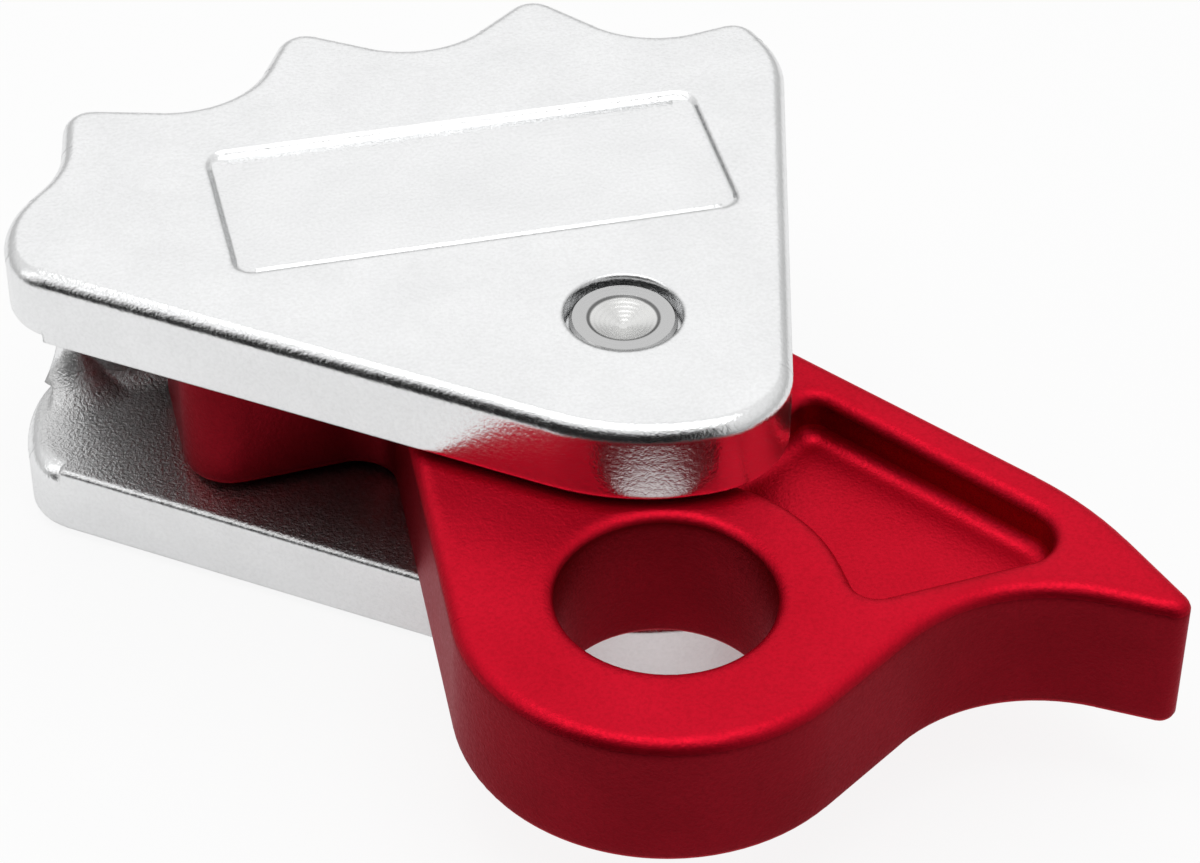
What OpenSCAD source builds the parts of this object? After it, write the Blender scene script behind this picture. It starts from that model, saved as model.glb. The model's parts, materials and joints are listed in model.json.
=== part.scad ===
// Rope clutch: a U-shaped aluminium housing with finger scallops, a pivoting
// cam lever with a connector eye and a thumb recess, its bush, pin, washers and
// return spring. Millimetres. X runs along the rope, Z is the pivot axis, and
// the lower cheek rests on Z = 0.

/* [Overall] */
// Thickness of each cheek plate
cheek_t = 7; // [5:0.1:9]
// Clear gap between the two cheeks
gap = 13.5; // [11:0.1:16]
// Free play between lever and cheek on each side
side_play = 0.6; // [0.3:0.05:1.2]
// Facet count of round surfaces
round_fn = 64; // [32:4:128]

/* [Housing outline] */
// Front corner, flat part of the curve round the pivot: centre x, y and radius
corner_front = [2.4, 3.3, 18.5]; // [-60:0.1:60]
// Front corner, tight part near the right edge: centre x, y and radius
corner_side = [3.6, -7.2, 8]; // [-60:0.1:60]
// Bulge at the top of the right edge: centre x, y and radius
shoulder = [10.9, 31.9, 10.9]; // [-60:0.1:60]
// First finger tip, beside the right edge
tip_e = [18.7, 35.8, 2.3]; // [-60:0.1:60]
// Second finger tip
tip_d = [2.4, 42.8, 2.6]; // [-60:0.1:60]
// Third finger tip
tip_c = [-18, 42.2, 2.6]; // [-60:0.1:60]
// Fourth finger tip
tip_b = [-37.5, 35.2, 2.4]; // [-60:0.1:60]
// Side of the left lobe: centre x, y and radius
lobe_side = [-37, 19.5, 9.6]; // [-60:0.1:60]
// Front corner of the left lobe: centre x, y and radius
lobe_corner = [-41.6, 19, 5]; // [-60:0.1:60]
// Radius of the three finger scallops
scallop_r = 8.2; // [6:0.1:11]
// Radius of the shallow scallop at the left lobe
end_scallop_r = 9.5; // [6:0.1:14]
// Straight flanks of the scallop after the first tip: right and left, as spare distance
flank_ed = [0.41, 1.15]; // [0.05:0.01:3]
// The same for the scallop after the second tip
flank_dc = [0.97, 1.1]; // [0.05:0.01:3]
// The same for the scallop after the third tip
flank_cb = [0.64, 1.43]; // [0.05:0.01:3]
// The same for the scallop between the fourth tip and the left lobe
flank_ba = [0.48, 0.09]; // [0.02:0.01:3]

/* [Housing edges] */
// Rounding of the outer face's edges
outer_round = 1.6; // [0.5:0.1:2.1]
// Rounding of the inner face's edges along the front
inner_round = 0.6; // [0.2:0.1:2]
// Rounding of the rope mouths, so that the rope isn't cut
mouth_round = 2; // [0.5:0.1:2.1]
// Length of the right mouth's rounding before it fades out
mouth_straight = 20; // [5:0.5:24]
// Radius of the curve on which both roundings fade out
fade_r = 18; // [10:0.5:40]

/* [Rope channel] */
// Distance from the pivot axis to the wall that the rope is pinched on
wall_y = 26; // [20:0.1:32]
// Fillet between the wall and each cheek, where the nose comes close
wall_fillet = 2.8; // [0.5:0.1:3]
// Larger fillet round both ends of the wall
end_fillet = 5.2; // [1:0.1:6]
// Rounding of the wall's left end
wall_left_r = 1.2; // [0.6:0.1:3]
// Rounding of the wall's right end
wall_right_r = 2.2; // [0.6:0.1:4]

/* [Recessed panel] */
// Left edge of the panel
panel_left = -29.1; // [-40:0.1:0]
// Right edge of the panel
panel_right = 13.1; // [0:0.1:20]
// Front edge of the panel
panel_front = 11.6; // [5:0.1:20]
// Back edge of the panel
panel_back = 28.6; // [20:0.1:34]
// Depth of the panel
panel_depth = 0.5; // [0.2:0.1:2]
// Corner radius of the panel
panel_corner = 1.8; // [0.8:0.1:4]
// Width of the sloping wall round the panel
panel_slope = 0.5; // [0.2:0.1:1.2]

/* [Pivot] */
// Radius of the pivot pin's shank
pin_r = 4; // [3:0.05:5]
// Radius of the pin's formed heads
head_r = 4.33; // [4:0.01:6]
// How far the heads sit below the outer faces
head_sink = 0.48; // [0:0.02:2]
// Radius of the recess round each head
recess_r = 4.81; // [4.4:0.01:7]
// Depth of the recess round each head
recess_depth = 2; // [1:0.1:4]
// Radius of the dimple in each head
dimple_r = 2.75; // [1:0.05:4]
// Depth of the dimple in each head
dimple_depth = 0.9; // [0.2:0.05:2]
// Radial clearance between pin and bush
pin_clear = 0.04; // [0.01:0.01:0.1]
// Outside radius of the lever's bush
bush_r = 5.5; // [4.5:0.1:7]
// Outside radius of the upper thrust washer
washer_r = 8; // [6:0.1:11]
// Outside radius of the washer that closes the spring's recess
cover_r = 11; // [8:0.1:12]
// Radial clearance between the washers and the pin
washer_clear = 0.1; // [0.02:0.02:0.3]
// Thickness of both washers
washer_t = 0.5; // [0.2:0.05:1]

/* [Lever outline] */
// Rounding of the lever's edges
lever_round = 1.2; // [0.4:0.1:1.25]
// Centre of the connector eye
eye = [-2.6, -24.3]; // [-60:0.1:60]
// Radius of the connector eye
eye_r = 8.5; // [6:0.1:10]
// Width of metal round the connector eye
eye_wall = 7.9; // [4:0.1:12]
// Rounding of the connector eye's rims
eye_round = 0.8; // [0.2:0.1:2]
// Hollow between the eye and the tail's tip: centre x, y and radius
belly = [22.3, -44.7, 14.5]; // [-60:0.1:60]
// Tip of the tail: centre x, y and radius
tail_tip = [34.5, -33.6, 1.3]; // [-60:0.1:60]
// Back of the tail: centre x, y and radius
tail_back = [6.8, -34.3, 28]; // [-60:0.1:60]
// Radius of the lever round the pivot
boss_r = 12.8; // [10:0.1:14]
// Face that presses on the rope: centre x, y and radius
cam_face = [-24.5, 8.3, 16.5]; // [-60:0.1:60]
// Upper corner of the nose: centre x, y and radius
nose_top = [-31.2, 21.7, 3]; // [-60:0.1:60]
// Lower corner of the nose: centre x, y and radius
nose_low = [-30.1, 12.9, 4.1]; // [-60:0.1:60]
// Inner corner between the nose and the eye: centre x, y and radius
armpit = [-21.1, 5.9, 3.5]; // [-60:0.1:60]

/* [Thumb recess] */
// Depth of the thumb recess
thumb_depth = 4; // [1:0.1:7]
// Rounding round the floor of the thumb recess
thumb_floor_r = 1.5; // [0.4:0.1:1.5]
// Rounding of the thumb recess's rim
thumb_rim_r = 1.2; // [0.2:0.1:1.5]
// Corner beside the eye: centre x, y and radius
thumb_eye = [13.4, -26.1, 2]; // [-60:0.1:60]
// Corner towards the tail's tip: centre x, y and radius
thumb_tip = [24.9, -23.5, 3.4]; // [-60:0.1:60]
// Corner at the housing's edge: centre x, y and radius
thumb_edge = [14.3, -6.2, 1.6]; // [-60:0.1:60]
// Radius of the land left round the pivot
pivot_land = 11.5; // [9:0.1:13]
// Radius of the land left round the connector eye
eye_land = 13.9; // [11:0.1:16]
// Corner between the two lands: centre x, y and radius
thumb_inner = [6.25, -11.52, 1.6]; // [-60:0.01:60]

/* [Return spring] */
// Wire diameter of the spring
wire_d = 1.3; // [0.8:0.1:2]
// Mean radius of the spring's coil
coil_r = 8.1; // [7:0.1:10]
// Number of full turns
coil_turns = 2; // [1:1:4]
// Inside radius of the spring's recess in the lever
spring_in = 6.9; // [6:0.1:8]
// Outside radius of the spring's recess in the lever
spring_out = 9.8; // [8:0.1:11]
// Depth of the spring's recess in the lever
spring_deep = 6.2; // [4:0.1:7]
// Direction of the leg that pushes the lever, in degrees
leg_angle = 240; // [180:5:300]
// Depth of the fixed leg's seat in the lower cheek
leg_seat = 3; // [1:0.1:5]
// Clearance round the wire in its seat, in the washer's hole and in the lever's slot
wire_clear = 0.15; // [0.05:0.05:0.4]
// How far from the pivot the leg that pushes the lever reaches
leg_reach = 13; // [11:0.1:16]

/* [Hidden] */
$fn = round_fn;
silver = [0.82, 0.83, 0.84];
red = [0.72, 0.05, 0.09];
steel = [0.66, 0.67, 0.68];
bronze = [0.72, 0.52, 0.3];
wire_grey = [0.45, 0.46, 0.48];

height = 2 * cheek_t + gap;
mid_z = height / 2;
lever_t = gap - 2 * side_play;
lever_z0 = cheek_t + side_play;
lever_z1 = lever_z0 + lever_t;

// The part's origin is the middle of its box at the bottom
box_left = lobe_side[0] - lobe_side[2];
box_right = tail_tip[0] + tail_tip[2];
box_front = eye[1] - eye_r - eye_wall;
box_back = tip_d[1] + tip_d[2];
shift = [-(box_left + box_right) / 2, -(box_front + box_back) / 2, 0];

// A closed outline is a ring of circles, run round anticlockwise and joined by
// tangent lines. A negative radius is a hollow. Each entry is [x, y, radius].
function dent(c, r) = [c[0], c[1], -r];
// The hollow of radius r that lies off circles a and b by the given flanks
function hollow(a, b, r, flank) = let (ra = a[2] + r + flank[0], rb = b[2] + r + flank[1])
    let (d = norm([b[0] - a[0], b[1] - a[1]]), way = atan2(b[1] - a[1], b[0] - a[0]))
    let (turn = way - acos((ra * ra + d * d - rb * rb) / (2 * ra * d)))
    [a[0] + ra * cos(turn), a[1] + ra * sin(turn), -r];
scallop_ed = hollow(tip_e, tip_d, scallop_r, flank_ed);
scallop_dc = hollow(tip_d, tip_c, scallop_r, flank_dc);
scallop_cb = hollow(tip_c, tip_b, scallop_r, flank_cb);
scallop_ba = hollow(tip_b, lobe_side, end_scallop_r, flank_ba);
housing_ring = [corner_front, corner_side, shoulder, tip_e,
    scallop_ed, tip_d, scallop_dc, tip_c, scallop_cb, tip_b, scallop_ba,
    lobe_side, lobe_corner];
// The wall that the rope is pinched on, with its two ends rounded
left_end_y = wall_y + wall_left_r;
left_end = [scallop_ba[0] + sqrt(pow(end_scallop_r + wall_left_r - 0.05, 2)
    - pow(scallop_ba[1] - left_end_y, 2)), left_end_y, wall_left_r];
edge_n = normal(corner_side, shoulder);
edge_d = shoulder[0] * cos(edge_n) + shoulder[1] * sin(edge_n) + shoulder[2];
right_end_y = wall_y + wall_right_r;
right_end = [(edge_d + 0.05 - wall_right_r - right_end_y * sin(edge_n)) / cos(edge_n),
    right_end_y, wall_right_r];
wall_ring = [right_end, [box_right, 2 * box_back, 1],
    [left_end[0] - wall_left_r, 2 * box_back, 1], left_end];
lever_ring = [[eye[0], eye[1], eye_r + eye_wall], dent(belly, belly[2]), tail_tip,
    tail_back, [0, 0, boss_r], cam_face, nose_top, nose_low,
    dent(armpit, armpit[2])];
thumb_ring = [thumb_eye, thumb_tip, thumb_edge, [0, 0, -pivot_land], thumb_inner,
    [eye[0], eye[1], -eye_land]];
panel_ring = [for (p = [[panel_left, panel_front, 1, 1], [panel_right, panel_front, -1, 1],
    [panel_right, panel_back, -1, -1], [panel_left, panel_back, 1, -1]])
    [p[0] + p[2] * panel_corner, p[1] + p[3] * panel_corner, panel_corner]];

function normal(a, b) = let (dx = b[0] - a[0], dy = b[1] - a[1])
    atan2(dy, dx) - acos((a[2] - b[2]) / sqrt(dx * dx + dy * dy));
function prev(c, i) = c[(i + len(c) - 1) % len(c)];
function next(c, i) = c[(i + 1) % len(c)];
function n_in(c, i) = normal(prev(c, i), c[i]);
function n_out(c, i) = normal(c[i], next(c, i));
function wrap(a) = a - 360 * floor(a / 360);
function sweep(c, i) = c[i][2] > 0 ? wrap(n_out(c, i) - n_in(c, i))
    : wrap(n_in(c, i) - n_out(c, i));
function first(c, i) = c[i][2] > 0 ? n_in(c, i) : n_out(c, i) + 180;
function at(c, i, a, w = 0) = [c[i][0] + (c[i][2] - w) * cos(a),
    c[i][1] + (c[i][2] - w) * sin(a)];

// The flat shape of a ring, drawn in by w all round. The lines run a hair inside
// each round and outside each hollow, so that they cross the circles cleanly.
module ring_shape(c, w = 0) {
    last = len(c) - 1;
    difference() {
        union() {
            polygon([for (i = [0:last]) each [at(c, i, n_in(c, i), w + hair(c, i)),
                at(c, i, n_out(c, i), w + hair(c, i))]]);
            for (i = [0:last]) if (c[i][2] > 0) ring_cap(c, i, w);
        }
        for (i = [0:last]) if (c[i][2] < 0) ring_cap(c, i, w);
    }
}
function hair(c, i) = c[i][2] > 0 ? 0.01 : -0.01;

// The piece of circle i that lies past its chord
module ring_cap(c, i, w) {
    r = abs(c[i][2] - w);
    over = 2.5 * acos(1 - 0.01 / r);
    a = first(c, i) - over;
    b = first(c, i) + sweep(c, i) + over;
    centre = [c[i][0], c[i][1]];
    deep = r - 0.1;
    if (sweep(c, i) > 0.05) intersection() {
        translate(centre) circle(r);
        polygon([for (t = [0:4]) centre + (t == 0 || t == 4 ? deep : 2 * r)
            * [cos(a + (b - a) * t / 4), sin(a + (b - a) * t / 4)]]);
    }
}

// Runs a profile round arc i; its x is the distance in from the outline
module round_arc(c, i) {
    if (sweep(c, i) > 0.05) translate([c[i][0], c[i][1], 0]) rotate([0, 0, first(c, i)])
        rotate_extrude(angle = sweep(c, i))
            translate([abs(c[i][2]), 0]) mirror([c[i][2] > 0 ? 1 : 0, 0]) children();
}

// Runs the same profile along the line from arc i to the next one, a little past
// both of its ends
module along_line(c, i, past = 0) {
    a = n_out(c, i);
    j = (i + 1) % len(c);
    p = at(c, i, a);
    q = at(c, j, a);
    run = norm(q - p);
    if (run > 0.02) translate([p[0], p[1], 0]) rotate([0, 0, a + 90]) rotate([90, 0, 90])
        translate([0, 0, -past]) linear_extrude(run + 2 * past) children();
}

// What a rounding of radius r takes off an edge at height z; up is 1 for a
// top edge and -1 for a bottom edge
module edge_section(z, r, up = 1, less = 0) {
    c = 0.97 * r - less;
    translate([0, z]) difference() {
        translate([-1, up > 0 ? -c : -1]) square([c + 1, c + 1]);
        translate([c, -up * c]) circle(r);
    }
}

// Rounds the edges of a ring: each edge is [height, radius, up], and the lines are
// cut after the arcs, a hair less deep
module round_off(ring, edges, out = 1) {
    last = len(ring) - 1;
    difference() {
        difference() {
            children();
            for (i = [0:last]) for (e = edges)
                round_arc(ring, i) scale([out, 1]) edge_section(e[0], e[1], e[2]);
        }
        for (i = [0:last]) for (e = edges)
            along_line(ring, i, 0.15) scale([out, 1]) edge_section(e[0], e[1], e[2], 0.01);
    }
}

// A fillet of radius r in the corner between a wall at x = 0 and a floor at y = 0
module corner_section(r) {
    c = 0.99 * r;
    difference() {
        translate([-1, -1]) square([c + 1, c + 1]);
        translate([c, c]) circle(r);
    }
}

// The gap between the cheeks, less the fillets that stay along the wall
module gap_cut() {
    difference() {
        translate([0, 0, cheek_t]) linear_extrude(gap) difference() {
            translate([box_left - 5, box_front]) square([box_right - box_left + 10,
                box_back - box_front - 2]);
            ring_shape(wall_ring);
        }
        for (m = [0, 1]) translate([0, 0, m * height]) mirror([0, 0, m]) {
            translate([left_end[0], wall_y, cheek_t]) rotate([90, 0, 90])
                linear_extrude(right_end[0] - left_end[0])
                    mirror([1, 0]) corner_section(wall_fillet);
            for (end = [left_end, right_end]) translate([end[0], end[1], cheek_t])
                rotate_extrude() difference() {
                    translate([end[2], 0]) corner_section(end_fillet);
                    translate([-2, -2]) square([2, 3 * end_fillet]);
                }
        }
    }
}

// One run of mouth rounding that leaves the outline on a wider curve, at a point with
// outward direction n: side is 1 for a curve inside the outline's normal, -1 outside
module fade(p, n, side, e) {
    turn = 1.25 * acos(1 - 0.73 * mouth_round / fade_r * (side > 0 ? 2 : 1));
    start = side > 0 ? n - turn : n + 180 - turn;
    c = p - side * fade_r * [cos(n), sin(n)];
    translate([c[0], c[1], 0]) rotate([0, 0, start]) rotate_extrude(angle = turn)
        translate([fade_r, 0]) mirror([side > 0 ? 1 : 0, 0]) edge_section(e[0], mouth_round, e[1]);
}

// Rounds the edges of the cheeks' inner faces, more at the rope's mouths
module inner_edges() {
    lobe_n = n_out(housing_ring, 11);
    side_n = n_out(housing_ring, 1);
    side_p = at(housing_ring, 1, side_n);
    along = [-sin(side_n), cos(side_n)];
    difference() {
        difference() {
            children();
            for (e = [[cheek_t, 1], [height - cheek_t, -1]]) {
                round_arc(housing_ring, 12) edge_section(e[0], mouth_round, e[1]);
                for (i = [0, 1]) round_arc(housing_ring, i) edge_section(e[0], inner_round, e[1]);
                fade(at(housing_ring, 11, lobe_n), lobe_n, 1, e);
                fade(side_p + mouth_straight * along, side_n, -1, e);
            }
        }
        for (e = [[cheek_t, 1], [height - cheek_t, -1]]) {
            along_line(housing_ring, 11, 0.15) edge_section(e[0], mouth_round, e[1], 0.01);
            for (i = [0, 12]) along_line(housing_ring, i, 0.15)
                edge_section(e[0], inner_round, e[1], 0.01);
            translate([side_p[0], side_p[1], 0]) rotate([0, 0, side_n + 90])
                rotate([90, 0, 90]) translate([0, 0, -0.15]) linear_extrude(mouth_straight + 0.3)
                    edge_section(e[0], mouth_round, e[1], 0.01);
        }
    }
}

module slab() {
    round_off(housing_ring, [[height, outer_round, 1], [0, outer_round, -1]])
        linear_extrude(height) ring_shape(housing_ring);
}

module pin_recess() {
    translate([0, 0, -1]) cylinder(r = pin_r, h = height + 2);
    for (m = [0, 1]) translate([0, 0, m * height]) mirror([0, 0, m])
        translate([0, 0, -1]) cylinder(r = recess_r, h = recess_depth + 1);
}

module panel() {
    floor_z = height - panel_depth;
    translate([0, 0, floor_z]) linear_extrude(panel_depth + 1) ring_shape(panel_ring, panel_slope);
    for (i = [0:3]) {
        round_arc(panel_ring, i) panel_section(floor_z);
        along_line(panel_ring, i) panel_section(floor_z);
    }
}

module panel_section(floor_z) {
    polygon([[0, height + 1], [0, height], [panel_slope, floor_z], [panel_slope, height + 1]]);
}

module housing() {
    color(silver) translate(shift) difference() {
        inner_edges() difference() {
            slab();
            gap_cut();
        }
        pin_recess();
        panel();
        // seat of the spring's fixed leg in the lower cheek
        translate([coil_r, 0, cheek_t - leg_seat])
            cylinder(d = wire_d + 2 * wire_clear, h = leg_seat + 1);
    }
}

module thumb_recess() {
    floor_z = lever_z1 - thumb_depth;
    round_off(thumb_ring, [[floor_z, thumb_floor_r, -1]])
        translate([0, 0, floor_z]) linear_extrude(thumb_depth + 1) ring_shape(thumb_ring);
}

module eye_cut() {
    translate([eye[0], eye[1], 0]) {
        translate([0, 0, lever_z0 - 1]) cylinder(r = eye_r, h = lever_t + 2);
        rotate_extrude() translate([eye_r, 0]) edge_section(lever_z1, eye_round, 1);
        rotate_extrude() translate([eye_r, 0]) edge_section(lever_z0, eye_round, -1);
    }
}

module spring_recess() {
    translate([0, 0, lever_z0 - 1]) difference() {
        cylinder(r = spring_out, h = spring_deep + 1);
        translate([0, 0, -1]) cylinder(r = spring_in, h = spring_deep + 3);
    }
    // slot of the leg that pushes the lever
    rotate([0, 0, leg_angle]) translate([coil_r, -wire_d / 2 - wire_clear, lever_z0 - 1])
        cube([leg_reach + 0.4 - coil_r, wire_d + 2 * wire_clear, spring_deep + 1]);
}

module lever_blank() {
    round_off(lever_ring, [[lever_z1, lever_round, 1], [lever_z0, lever_round, -1]])
        translate([0, 0, lever_z0]) linear_extrude(lever_t) ring_shape(lever_ring);
}

module cam_lever() {
    color(red) translate(shift) difference() {
        round_off(thumb_ring, [[lever_z1, thumb_rim_r, 1]], -1) difference() {
            lever_blank();
            thumb_recess();
        }
        eye_cut();
        translate([0, 0, lever_z0 - 1]) cylinder(r = bush_r, h = lever_t + 2);
        spring_recess();
    }
}

module cam_bush() {
    color(bronze) translate(shift) translate([0, 0, lever_z0]) difference() {
        cylinder(r = bush_r, h = lever_t);
        translate([0, 0, -1]) cylinder(r = pin_r + pin_clear, h = lever_t + 2);
    }
}

module pin_head() {
    // formed head, from its face down to the floor of the recess
    deep = recess_depth - head_sink;
    rotate_extrude() difference() {
        polygon([[0, -0.5], [pin_r, -0.5], [pin_r, 0], [head_r, 0], [head_r, deep - 0.25],
            [head_r - 0.25, deep], [0, deep]]);
        polygon([[0, deep + 1], [dimple_r + 0.2, deep + 1], [dimple_r + 0.2, deep],
            [dimple_r, deep - 0.08], [0.35, deep - dimple_depth], [0, deep - dimple_depth]]);
    }
}

module pivot_pin() {
    color(steel) translate(shift) {
        translate([0, 0, recess_depth]) cylinder(r = pin_r, h = height - 2 * recess_depth);
        translate([0, 0, height - recess_depth]) pin_head();
        translate([0, 0, recess_depth]) mirror([0, 0, 1]) pin_head();
    }
}

module upper_thrust_washer() {
    z = lever_z1 + (side_play - washer_t) / 2;
    color(steel) translate(shift) translate([0, 0, z]) difference() {
        cylinder(r = washer_r, h = washer_t);
        translate([0, 0, -1]) cylinder(r = pin_r + washer_clear, h = washer_t + 2);
    }
}

module spring_cover_washer() {
    z = cheek_t + (side_play - washer_t) / 2;
    color(steel) translate(shift) translate([0, 0, z]) difference() {
        cylinder(r = cover_r, h = washer_t);
        translate([0, 0, -1]) cylinder(r = pin_r + washer_clear, h = washer_t + 2);
        // hole for the spring's fixed leg
        translate([coil_r, 0, -1]) cylinder(d = wire_d + 4 * wire_clear, h = washer_t + 2);
    }
}

// Centre line of the spring: fixed leg, coil, then the leg out to the lever
coil_steps = 20;
pitch = wire_d + 0.25;
coil_z = lever_z0 + wire_d / 2 + 0.25;
coil_sweep = coil_turns * 360 + leg_angle;
coil_last = ceil(coil_steps * coil_sweep / 360);
function coil_point(k) = let (a = coil_sweep * k / coil_last)
    [coil_r * cos(a), coil_r * sin(a), coil_z + pitch * a / 360];
spring_line = concat(
    [[coil_r, 0, cheek_t - leg_seat + 0.5], [coil_r, 0, coil_z - wire_d / 2]],
    [for (k = [1:coil_last - 1]) coil_point(k)],
    [[coil_r * cos(leg_angle) * 1.02, coil_r * sin(leg_angle) * 1.02, coil_point(coil_last)[2]],
     [leg_reach * cos(leg_angle), leg_reach * sin(leg_angle), coil_point(coil_last)[2]]]);
sides = 10;
function unit(v) = v / norm(v);
function heading(i) = unit(spring_line[min(i + 1, len(spring_line) - 1)]
    - spring_line[max(i - 1, 0)]);
function side_way(i) = let (p = spring_line[i])
    let (out = [p[0], p[1], 0.02]) let (h = heading(i))
    let (s = cross(h, abs(h * unit(out)) > 0.95 ? [0, 0, 1] : unit(out))) unit(s);
function spring_ring(i) = let (h = heading(i)) let (s = side_way(i)) let (u = cross(s, h))
    [for (k = [0:sides - 1]) spring_line[i]
        + wire_d / 2 * (cos(360 * k / sides) * s + sin(360 * k / sides) * u)];

module return_spring() {
    m = len(spring_line);
    color(wire_grey) translate(shift) polyhedron(
        points = [for (i = [0:m - 1]) each spring_ring(i)],
        faces = concat(
            [[for (k = [0:sides - 1]) k]],
            [for (i = [0:m - 2]) for (k = [0:sides - 1]) [i * sides + k, (i + 1) * sides + k,
                (i + 1) * sides + (k + 1) % sides, i * sides + (k + 1) % sides]],
            [[for (k = [sides - 1:-1:0]) (m - 1) * sides + k]]));
}

housing();
cam_lever();
cam_bush();
pivot_pin();
upper_thrust_washer();
spring_cover_washer();
return_spring();
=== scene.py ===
import json
import math

import bpy
from mathutils import Matrix, Vector


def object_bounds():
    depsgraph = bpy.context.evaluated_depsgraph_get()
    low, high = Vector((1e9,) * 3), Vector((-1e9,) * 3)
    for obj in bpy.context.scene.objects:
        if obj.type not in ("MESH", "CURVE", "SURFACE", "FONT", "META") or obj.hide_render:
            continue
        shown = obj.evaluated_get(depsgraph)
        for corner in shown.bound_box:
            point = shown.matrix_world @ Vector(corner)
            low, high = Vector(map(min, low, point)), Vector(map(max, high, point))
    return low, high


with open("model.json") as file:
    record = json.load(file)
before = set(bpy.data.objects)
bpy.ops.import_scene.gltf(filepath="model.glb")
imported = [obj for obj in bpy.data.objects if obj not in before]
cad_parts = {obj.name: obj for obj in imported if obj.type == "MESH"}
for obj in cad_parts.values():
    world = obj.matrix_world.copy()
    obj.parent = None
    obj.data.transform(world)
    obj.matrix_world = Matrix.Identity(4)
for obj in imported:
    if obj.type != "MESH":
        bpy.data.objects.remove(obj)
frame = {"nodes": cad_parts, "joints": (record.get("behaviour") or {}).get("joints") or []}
cad_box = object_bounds()

MM = 0.001
low, high = (Vector(c) for c in cad_box)
centre = (low + high) / 2
pivot = Vector(frame["joints"][0]["pos_m"])
CHANNEL_HALF = 6.75 * MM          # half the gap between the cheeks
WALL_FACE = pivot.y + 26.0 * MM   # the wall that the rope is pinched on


# ---------------------------------------------------------------- camera
# The photograph's viewing angle: from the front, a little to the left, and well above the object.
VIEW_TURN = 13.93         # degrees from +Y towards +X
VIEW_DOWN = 40.2          # degrees below the horizon
VIEW_ROLL = -0.57         # degrees
VIEW_DISTANCE = 298.2 * MM
AIM = centre + Vector((4.1, -0.3, 0.0)) * MM
LENS = 109.56             # mm
SENSOR = 36.0             # mm wide
CLIP_START, CLIP_END = 0.01, 20.0   # metres


def make_camera():
    turn, down, roll = (math.radians(a) for a in (VIEW_TURN, VIEW_DOWN, VIEW_ROLL))
    level = math.cos(down)
    ahead = Vector((math.sin(turn) * level, math.cos(turn) * level, -math.sin(down)))
    right = Vector((math.cos(turn), -math.sin(turn), 0.0))
    up = right.cross(ahead)
    x_axis = math.cos(roll) * right - math.sin(roll) * up
    y_axis = math.sin(roll) * right + math.cos(roll) * up
    data = bpy.data.cameras.new("camera")
    data.lens = LENS
    data.sensor_width = SENSOR
    data.sensor_fit = "HORIZONTAL"
    data.clip_start = CLIP_START
    data.clip_end = CLIP_END
    camera = bpy.data.objects.new("camera", data)
    turned = Matrix((x_axis, y_axis, -ahead)).transposed().to_4x4()
    camera.matrix_world = Matrix.Translation(AIM - ahead * VIEW_DISTANCE) @ turned
    bpy.context.scene.collection.objects.link(camera)
    bpy.context.scene.camera = camera


# ---------------------------------------------------------------- materials
# Colours are linear red, green and blue, with 1 for opaque. A noise is the size of its features
# in mm, its detail and its roughness. A relief is its depth in mm.
MIDDLE = (0.3, 0.7)       # where most of a noise's values lie
BEVEL_SAMPLES = 8


class Tree:
    """A node tree with short calls for adding and linking nodes."""

    SOCKETS = {
        "color": "Base Color", "metal": "Metallic", "rough": "Roughness", "normal": "Normal",
        "specular": "Specular IOR Level", "edge_tint": "Specular Tint",
    }

    def __init__(self, name):
        self.material = bpy.data.materials.new(name)
        self.material.use_nodes = True
        self.nodes = self.material.node_tree.nodes
        self.links = self.material.node_tree.links
        self.nodes.clear()
        self.output = self.nodes.new("ShaderNodeOutputMaterial")
        self.shader = self.nodes.new("ShaderNodeBsdfPrincipled")
        self.links.new(self.shader.outputs[0], self.output.inputs[0])
        self.place = self.nodes.new("ShaderNodeTexCoord").outputs["Object"]

    def feed(self, socket, value):
        """Links the value to the socket, or sets it there if it is a number or a colour."""
        if isinstance(value, bpy.types.NodeSocket):
            self.links.new(value, socket)
        else:
            socket.default_value = value

    def add(self, kind, values=None, **settings):
        node = self.nodes.new("ShaderNode" + kind)
        for key, value in settings.items():
            setattr(node, key, value)
        for key, value in (values or {}).items():
            self.feed(node.inputs[key], value)
        return node

    def noise(self, size_mm, detail, rough):
        """Noise with features about size_mm across."""
        return self.add("TexNoise", {
            "Vector": self.place, "Scale": 1.0 / (size_mm * MM),
            "Detail": detail, "Roughness": rough,
        }).outputs["Fac"]

    def ramp(self, value, low_in, high_in, low_out=0.0, high_out=1.0):
        return self.add("MapRange", {
            "Value": value, "From Min": low_in, "From Max": high_in,
            "To Min": low_out, "To Max": high_out,
        }).outputs[0]

    def math(self, operation, a, b=0.0):
        return self.add("Math", {0: a, 1: b}, operation=operation).outputs[0]

    def vector(self, operation, a, b=None):
        values = {0: a} if b is None else {0: a, 1: b}
        return self.add("VectorMath", values, operation=operation)

    def mix(self, factor, a, b):
        node = self.add("Mix", data_type="RGBA")
        for key, value in (("Factor", factor), ("A", a), ("B", b)):
            sockets = [s for s in node.inputs if s.name == key and s.enabled]
            self.feed(sockets[0], value)
        return [s for s in node.outputs if s.enabled][0]

    def bump(self, height, depth_mm, strength=1.0, under=None):
        """The normal with the height's relief on it, over the normal that lies under it."""
        values = {"Height": height, "Distance": depth_mm * MM, "Strength": strength}
        if under is not None:
            values["Normal"] = under
        return self.add("Bump", values).outputs[0]

    def soft_edge(self, width_mm):
        """The surface's normal with its sharp edges and creases softened."""
        return self.add("Bevel", {"Radius": width_mm * MM}, samples=BEVEL_SAMPLES).outputs[0]

    def set(self, **values):
        for key, value in values.items():
            self.feed(self.shader.inputs[self.SOCKETS[key]], value)


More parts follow.
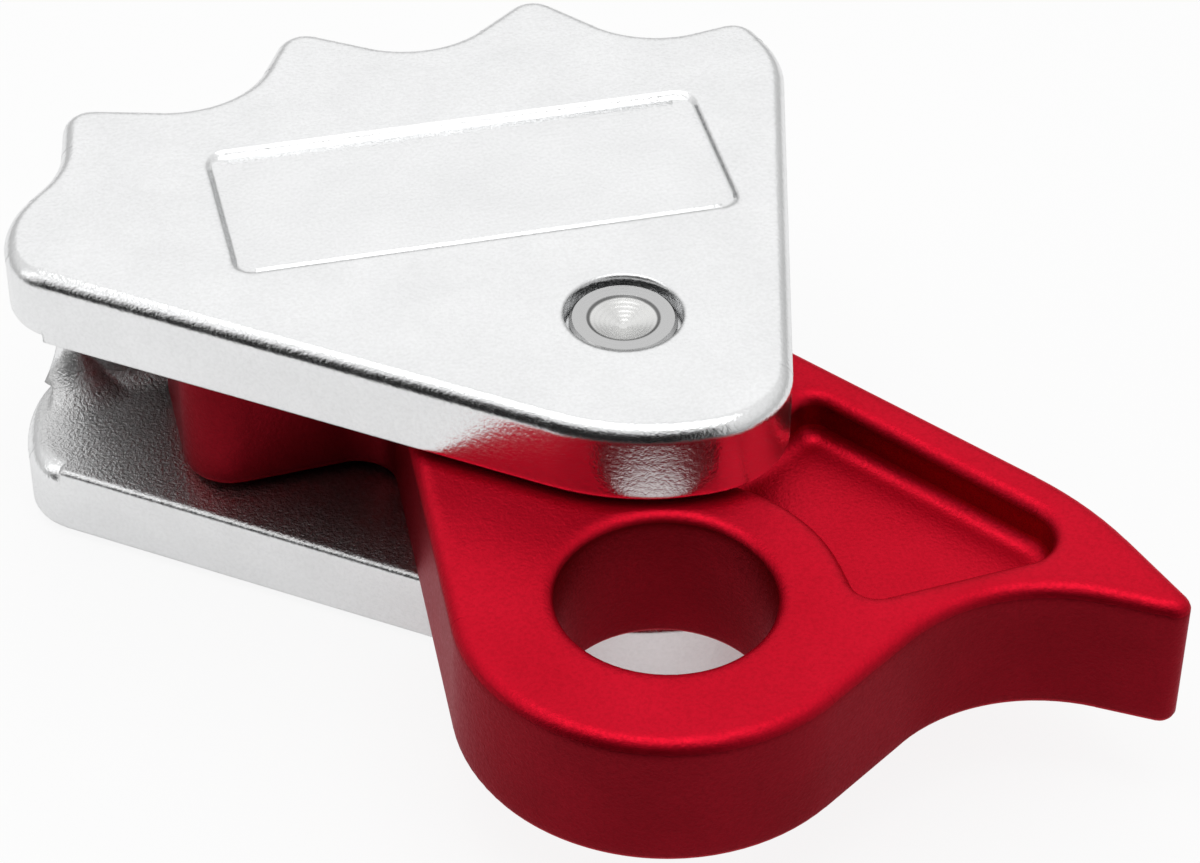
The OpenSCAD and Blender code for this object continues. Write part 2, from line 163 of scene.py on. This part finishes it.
ALUMINIUM_DULL = (0.87, 0.875, 0.88, 1)
ALUMINIUM_BRIGHT = (0.92, 0.925, 0.93, 1)
ALUMINIUM_PIT = (0.35, 0.35, 0.34, 1)
ALUMINIUM_GRAIN = (0.3, 2.0, 0.6)
ALUMINIUM_PEEL = (0.8, 2.0, 0.5)
ALUMINIUM_CLOUD = (6.0, 3.0, 0.5)
ALUMINIUM_PITTED = (0.35, 0.65, 0.0, 0.07)   # the grain's values and how much of the pits shows
ALUMINIUM_ROUGH = (0.15, 0.25)
ALUMINIUM_GRAIN_DEEP = 0.028
ALUMINIUM_PEEL_DEEP = 0.016
ALUMINIUM_EDGE = 0.6                         # mm, the width of a softened edge
# Painted shade: the channel between the cheeks is coloured dark, these two greys mixed by the
# grain.
CHANNEL_SHADE_DARK = (0.20, 0.195, 0.195, 1)
CHANNEL_SHADE_PALE = (0.50, 0.495, 0.49, 1)
MOUTH_LIGHT_DARK = (0.45, 0.45, 0.45, 1)       # painted light: the channel's painted shade is lighter at its open left end
MOUTH_LIGHT_PALE = (0.88, 0.88, 0.88, 1)
MOUTH_LIGHT_FADE = (7 * MM, 16 * MM)            # from the box's left side, where that painted light fades out
CAST_ROUGHER = 0.2                           # more than outside the channel
CAST_RELIEF = 2.5                            # times the grain's relief is added in the channel
CHANNEL_EDGE = (0.25 * MM, -0.05 * MM)       # beyond a cheek's face: none of the channel's painted shade and rough finish, all of it
WALL_EDGE = (0.4 * MM, 0.1 * MM)             # the same beyond the wall's face


def tumbled_aluminium():
    """Bright aluminium, tumbled and polished outside, and left rough in the channel, where painted
    shade darkens it, lighter towards its open left end.
    """
    t = Tree("tumbled_aluminium")
    grain = t.noise(*ALUMINIUM_GRAIN)
    peel = t.noise(*ALUMINIUM_PEEL)
    cloud = t.noise(*ALUMINIUM_CLOUD)
    place = t.add("SeparateXYZ", {0: t.place})
    off_middle = t.math("ABSOLUTE", t.math("SUBTRACT", place.outputs["Z"], centre.z))
    between = t.ramp(off_middle, *(CHANNEL_HALF + past for past in CHANNEL_EDGE))
    ahead = t.ramp(place.outputs["Y"], *(WALL_FACE + past for past in WALL_EDGE))
    inside = t.math("MULTIPLY", between, ahead)
    from_left = t.ramp(place.outputs["X"], *(low.x + past for past in MOUTH_LIGHT_FADE))
    bright = t.mix(t.ramp(cloud, *MIDDLE), ALUMINIUM_DULL, ALUMINIUM_BRIGHT)
    speckle = t.mix(t.ramp(grain, *ALUMINIUM_PITTED), bright, ALUMINIUM_PIT)
    # Painted shade in the channel between the cheeks, with painted light towards its open left end.
    channel_shade = t.mix(grain, CHANNEL_SHADE_DARK, CHANNEL_SHADE_PALE)
    painted_channel_shading = t.mix(from_left, t.mix(grain, MOUTH_LIGHT_DARK, MOUTH_LIGHT_PALE), channel_shade)
    smooth = t.ramp(grain, *MIDDLE, *ALUMINIUM_ROUGH)
    relief = t.math("ADD", 1.0, t.math("MULTIPLY", inside, CAST_RELIEF))
    pebbled = t.bump(grain, ALUMINIUM_GRAIN_DEEP, relief, under=t.soft_edge(ALUMINIUM_EDGE))
    t.set(color=t.mix(inside, speckle, painted_channel_shading), metal=1.0)
    t.set(rough=t.math("ADD", smooth, t.math("MULTIPLY", inside, CAST_ROUGHER)))
    t.set(normal=t.bump(peel, ALUMINIUM_PEEL_DEEP, under=pebbled))
    return t.material


RED_FACE_DARK = (0.58, 0.003, 0.018, 1)
RED_FACE_PALE = (0.66, 0.005, 0.024, 1)
# Painted shade: walls, which face sideways, are coloured darker than the faces.
RED_WALL_SHADE_DARK = (0.19, 0.002, 0.007, 1)
RED_WALL_SHADE_PALE = (0.24, 0.003, 0.010, 1)
RED_PIT = (0.12, 0.001, 0.004, 1)
RED_EDGE_TINT = (1.0, 0.45, 0.5, 1)
RED_GRAIN = (0.3, 2.0, 0.6)
RED_PEEL = (0.9, 2.0, 0.5)
RED_CLOUD = (9.0, 3.0, 0.5)
RED_PITTED = (0.4, 0.7, 0.0, 0.16)           # the grain's values and how much of the pits shows
RED_FACING_UP = (0.1, 0.85)                  # the normal's Z: a wall, in painted shade; a face
RED_ROUGH = (0.32, 0.44)
RED_METAL = 0.75
RED_SPECULAR = 0.25
RED_GRAIN_DEEP = 0.036
RED_PEEL_DEEP = 0.02
RED_EDGE = 1.6                               # mm, the width of a softened edge


def red_anodised():
    """Blasted aluminium, dyed red and sealed: satin, finely grained, with painted shade darkening
    the walls.
    """
    t = Tree("red_anodised")
    grain = t.noise(*RED_GRAIN)
    peel = t.noise(*RED_PEEL)
    cloud = t.noise(*RED_CLOUD)
    face = t.mix(t.ramp(cloud, *MIDDLE), RED_FACE_DARK, RED_FACE_PALE)
    wall_shade = t.mix(t.ramp(cloud, *MIDDLE), RED_WALL_SHADE_DARK, RED_WALL_SHADE_PALE)
    up = t.add("SeparateXYZ", {0: t.add("NewGeometry").outputs["True Normal"]}).outputs["Z"]
    # Painted shade on the walls, chosen by the normal's Z; the faces keep the dye's colour.
    dye_and_wall_shade = t.mix(t.ramp(t.math("ABSOLUTE", up), *RED_FACING_UP), wall_shade, face)
    pebbled = t.bump(grain, RED_GRAIN_DEEP, under=t.soft_edge(RED_EDGE))
    t.set(color=t.mix(t.ramp(grain, *RED_PITTED), dye_and_wall_shade, RED_PIT), metal=RED_METAL)
    t.set(rough=t.ramp(grain, *MIDDLE, *RED_ROUGH))
    t.set(normal=t.bump(peel, RED_PEEL_DEEP, under=pebbled))
    t.set(specular=RED_SPECULAR, edge_tint=RED_EDGE_TINT)
    return t.material


STEEL_FACE = (0.55, 0.55, 0.55, 1)
# Painted reflection on the pin head's cone, and a painted shade line round its rim.
STEEL_CONE_REFLECTION = (0.76, 0.76, 0.75, 1)
STEEL_RIM_SHADE = (0.08, 0.08, 0.08, 1)
STEEL_SHEEN = (0.12, 2.0, 0.6)
STEEL_WOBBLE = (1.5, 2.0, 0.5)
WOBBLE_REACH = 3.0                           # radians that the rings wander by
RING_PITCH = 0.4 * MM                        # between two rings that the tool left
RING_DEEP = 0.003
RING_STRENGTH = 0.8
SHEEN_DEEP = 0.004
SHEEN_ROUGH = (-0.05, 0.08)                  # added to the steel's roughness
CONE_EDGE = 0.1                              # mm over which the cone's painted reflection fades in
RIM_LINE = (0.08 * MM, 0.2 * MM, 0.8, 0.0)   # off the cone's rim: the painted shade line and how dark
PIN_CONE = 2.8                               # mm, the radius of the dimple in the pin's heads
PIN_ROUGH = 0.24
WASHER_ROUGH = 0.3


def turned_steel(name, rough, cone_mm=0.0):
    """Steel turned on a lathe: fine rings round the pivot axis, a painted reflection making the
    cone inside cone_mm paler, and a painted shade line at its rim.
    """
    t = Tree(name)
    away = t.vector("SUBTRACT", t.place, (pivot.x, pivot.y, 0.0)).outputs[0]
    flat = t.vector("MULTIPLY", away, (1.0, 1.0, 0.0)).outputs[0]
    radius = t.vector("LENGTH", flat).outputs["Value"]
    wobble = t.math("MULTIPLY", t.noise(*STEEL_WOBBLE), WOBBLE_REACH)
    turns = t.math("MULTIPLY", radius, 2 * math.pi / RING_PITCH)
    rings = t.math("SINE", t.math("ADD", turns, wobble))
    sheen = t.noise(*STEEL_SHEEN)
    rim = t.math("ABSOLUTE", t.math("SUBTRACT", radius, cone_mm * MM))
    on_cone = t.ramp(radius, (cone_mm - CONE_EDGE) * MM, cone_mm * MM, 1.0, 0.0)
    # Painted reflection on the cone, then a painted shade line round its rim.
    turned = t.mix(on_cone, STEEL_FACE, STEEL_CONE_REFLECTION)
    t.set(color=t.mix(t.ramp(rim, *RIM_LINE), turned, STEEL_RIM_SHADE), metal=1.0)
    t.set(rough=t.ramp(sheen, *MIDDLE, *(rough + more for more in SHEEN_ROUGH)))
    t.set(normal=t.bump(rings, RING_DEEP, RING_STRENGTH, under=t.bump(sheen, SHEEN_DEEP)))
    return t.material


BRONZE_DARK = (0.36, 0.22, 0.10, 1)
BRONZE_PALE = (0.62, 0.42, 0.22, 1)
BRONZE_PORES = (0.25, 3.0, 0.6)
BRONZE_OPEN = (0.35, 0.6)                    # the noise's values: in a pore, between pores
BRONZE_ROUGH = (0.5, 0.35)
BRONZE_METAL = 0.9
BRONZE_DEEP = 0.02


def sintered_bronze():
    t = Tree("sintered_bronze")
    pores = t.noise(*BRONZE_PORES)
    tone = t.mix(t.ramp(pores, *BRONZE_OPEN), BRONZE_DARK, BRONZE_PALE)
    t.set(color=tone, metal=BRONZE_METAL)
    t.set(rough=t.ramp(pores, *MIDDLE, *BRONZE_ROUGH), normal=t.bump(pores, BRONZE_DEEP))
    return t.material


WIRE_DARK = (0.30, 0.31, 0.33, 1)
WIRE_PALE = (0.46, 0.47, 0.49, 1)
WIRE_STREAK = (0.3, 3.0, 0.6)
WIRE_ROUGH = (0.28, 0.42)
WIRE_DEEP = 0.008


def spring_wire():
    t = Tree("spring_wire")
    streak = t.noise(*WIRE_STREAK)
    t.set(color=t.mix(streak, WIRE_DARK, WIRE_PALE), metal=1.0)
    t.set(rough=t.ramp(streak, *MIDDLE, *WIRE_ROUGH), normal=t.bump(streak, WIRE_DEEP))
    return t.material


def dress(node, material):
    thing = frame["nodes"][node]
    thing.data.materials.clear()
    thing.data.materials.append(material)


# ---------------------------------------------------------------- studio
FLOOR_SIZE = 1300 * MM
FLOOR_BELOW = 0.02 * MM            # the floor lies this far under the object
FLOOR_CORNERS = 128
FLOOR_ROUGH = 0.6
CARD_FRONT = -78 * MM              # the white card ends here, with a dark floor beyond it
CARD_FADE = 12 * MM                # half the width over which it darkens
CARD_FACING = (0.35, 0.94, 0.0)    # its front edge runs along the housing's front edge
CARD_WHITE = (0.88, 0.88, 0.88, 1)
FLOOR_DARK = (0.03, 0.03, 0.03, 1)
GLOW_SEEN = 0.88                   # the floor's own light, as the camera sees it
GLOW_MIRRORED = 0.36               # the card's own light, as the metal mirrors it
WHITE = (1, 1, 1, 1)


def make_floor():
    bpy.ops.mesh.primitive_circle_add(vertices=FLOOR_CORNERS, radius=FLOOR_SIZE / 2,
                                      fill_type="NGON", location=(0, 0, low.z - FLOOR_BELOW))
    floor = bpy.context.object
    floor.name = "floor"
    t = Tree("floor")
    light_path = t.add("LightPath")
    seen = light_path.outputs["Is Camera Ray"]
    mirrored = light_path.outputs["Is Glossy Ray"]
    forward = t.vector("DOT_PRODUCT", t.place, CARD_FACING).outputs["Value"]
    card = t.ramp(forward, CARD_FRONT - CARD_FADE, CARD_FRONT + CARD_FADE)
    t.set(color=t.mix(t.math("MAXIMUM", seen, card), FLOOR_DARK, CARD_WHITE), rough=FLOOR_ROUGH)
    glow = t.add("Emission", {"Color": WHITE, "Strength": 1.0})
    in_metal = t.math("MULTIPLY", t.math("MULTIPLY", mirrored, card), GLOW_MIRRORED)
    share = t.math("MAXIMUM", t.math("MULTIPLY", seen, GLOW_SEEN), in_metal)
    shade = t.add("MixShader", {0: share})
    t.links.new(t.shader.outputs[0], shade.inputs[1])
    t.links.new(glow.outputs[0], shade.inputs[2])
    t.links.new(shade.outputs[0], t.output.inputs[0])
    floor.data.materials.append(t.material)


# Each soft box: its place from the object's centre and its size, in mm, and the level that it
# shines at, where 1 shows as white in a mirror.
SOFTBOXES = {
    "back_softbox": ((60, 330, 300), (520, 320), 0.2),
    "top_softbox": ((-20, -40, 420), (420, 200), 1.9),
    "left_softbox": ((-420, -40, 260), (260, 300), 0.6),
}


def area(name, place_mm, size_mm, level):
    """A soft box that faces the object's centre."""
    data = bpy.data.lights.new(name, "AREA")
    data.shape = "RECTANGLE"
    data.size, data.size_y = size_mm[0] * MM, size_mm[1] * MM
    data.energy = level * math.pi * data.size * data.size_y
    light = bpy.data.objects.new(name, data)
    light.location = centre + Vector(place_mm) * MM
    towards = centre - light.location
    light.rotation_euler = towards.to_track_quat("-Z", "Y").to_euler()
    bpy.context.scene.collection.objects.link(light)


# The world's ramps run along one axis of the direction that a ray leaves in: each starts and
# ends at the first two numbers, and gives the last two there.
OPENING_AHEAD = (0.1, -0.35, 0.0, 1.0)    # the dark opening starts in front of the object,
OPENING_TOP = (0.8, 0.62, 0.0, 1.0)       # lies below this height
OPENING_RIGHT = (0.15, 0.5, 1.0, 0.0)     # and stops on the right
TENT_RISE = (0.0, 0.65, 0.5, 0.82)        # the tent is brighter towards its top
OPENING_DARK = 0.02                       # what is left of the tent in the opening
BACKDROP = 1.0                            # the white that the camera sees


def make_world():
    """A pale tent round the object, with a dark opening in front; the camera sees only white."""
    world = bpy.data.worlds.new("studio")
    bpy.context.scene.world = world
    world.use_nodes = True
    nodes, links = world.node_tree.nodes, world.node_tree.links
    split = nodes.new("ShaderNodeSeparateXYZ")
    links.new(nodes.new("ShaderNodeTexCoord").outputs["Generated"], split.inputs[0])

    def ramp(value, numbers):
        node = nodes.new("ShaderNodeMapRange")
        node.interpolation_type = "SMOOTHSTEP"
        links.new(value, node.inputs[0])
        for i, number in enumerate(numbers):
            node.inputs[i + 1].default_value = number
        return node.outputs[0]

    def times(a, b):
        node = nodes.new("ShaderNodeMath")
        node.operation = "MULTIPLY"
        links.new(a, node.inputs[0])
        links.new(b, node.inputs[1])
        return node.outputs[0]

    ahead = times(ramp(split.outputs["Y"], OPENING_AHEAD), ramp(split.outputs["Z"], OPENING_TOP))
    opening = times(ahead, ramp(split.outputs["X"], OPENING_RIGHT))
    tent = ramp(split.outputs["Z"], TENT_RISE)
    lit = times(tent, ramp(opening, (0.0, 1.0, 1.0, OPENING_DARK)))
    strength = nodes.new("ShaderNodeMix")
    links.new(nodes.new("ShaderNodeLightPath").outputs["Is Camera Ray"], strength.inputs[0])
    links.new(lit, strength.inputs[2])
    strength.inputs[3].default_value = BACKDROP
    background = nodes["Background"]
    background.inputs["Color"].default_value = WHITE
    links.new(strength.outputs[0], background.inputs["Strength"])


make_camera()
make_floor()
make_world()
for name, (place_mm, size_mm, level) in SOFTBOXES.items():
    area(name, place_mm, size_mm, level)

dress("housing", tumbled_aluminium())
dress("cam_lever", red_anodised())
dress("pivot_pin", turned_steel("turned_stainless", PIN_ROUGH, PIN_CONE))
dress("cam_bush", sintered_bronze())
washer = turned_steel("ground_stainless", WASHER_ROUGH)
dress("upper_thrust_washer", washer)
dress("spring_cover_washer", washer)
dress("return_spring", spring_wire())

bpy.context.scene.view_settings.view_transform = "Standard"
